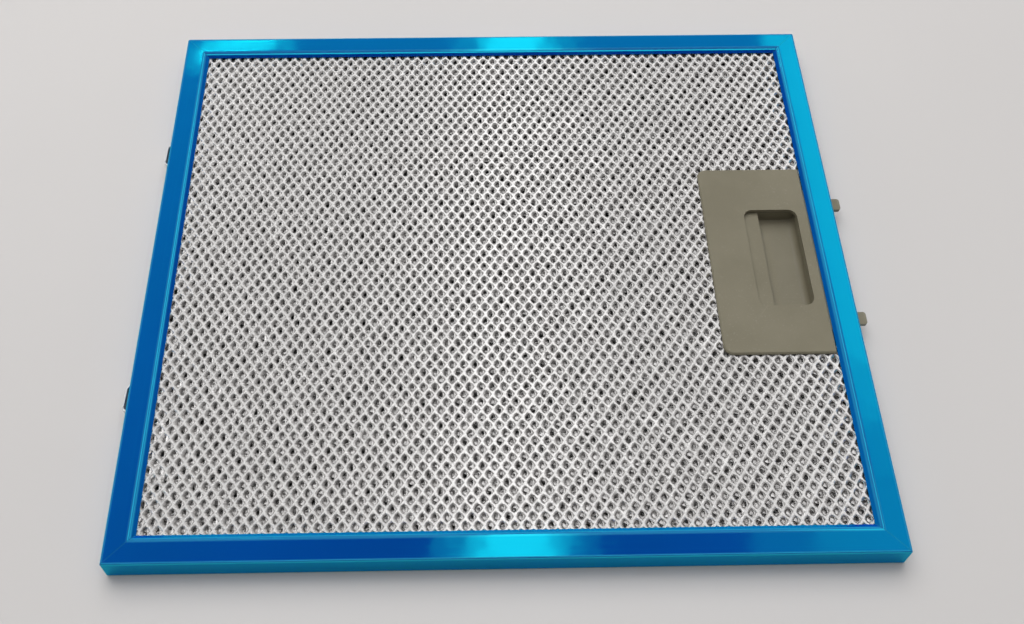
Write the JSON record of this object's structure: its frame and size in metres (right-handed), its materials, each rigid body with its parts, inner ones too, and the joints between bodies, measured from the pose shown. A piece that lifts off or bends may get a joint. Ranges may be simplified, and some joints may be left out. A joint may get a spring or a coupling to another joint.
{
  "type": "cooker hood grease filter",
  "caption": "Flat rectangular aluminium mesh grease filter in a folded channel frame, with a sprung finger latch on one edge and leaf springs on the opposite edge.",
  "frame": {"origin": "centre of the frame's rear face, which lies on the surface below", "axes": "+Z out of the filter's front face, +X towards the latch, +Y along the shorter side, away from the camera in the picture"},
  "size_m": [0.3129, 0.267, 0.012],
  "materials": {
    "blue_film_frame": "bright folded aluminium under a clear blue protective film",
    "mesh_aluminium": "bright expanded foil",
    "latch_plastic": "warm grey moulded plastic, fine satin",
    "spring_steel": "bright spring steel"
  },
  "bodies": {
    "filter": {"frame_channel": "blue_film_frame", "front_mesh": "mesh_aluminium", "inner_mesh_1": "mesh_aluminium", "inner_mesh_2": "mesh_aluminium", "inner_mesh_3": "mesh_aluminium", "back_mesh": "mesh_aluminium", "latch_housing": "latch_plastic", "latch_back_cover": "latch_plastic", "latch_spring_far": "spring_steel", "latch_spring_near": "spring_steel", "leaf_spring_far": "spring_steel", "leaf_spring_near": "spring_steel"},
    "slider": {"latch_slider": "latch_plastic"}
  },
  "joints": [
    {"name": "latch_slide", "type": "slide", "parent": "filter", "child": "slider", "axis": [-1, 0, 0], "range_m": [0, 0.006], "stiffness_N_per_m": 300, "springref_m": -0.004, "deforming": ["latch_spring_far", "latch_spring_near"]}
  ]
}
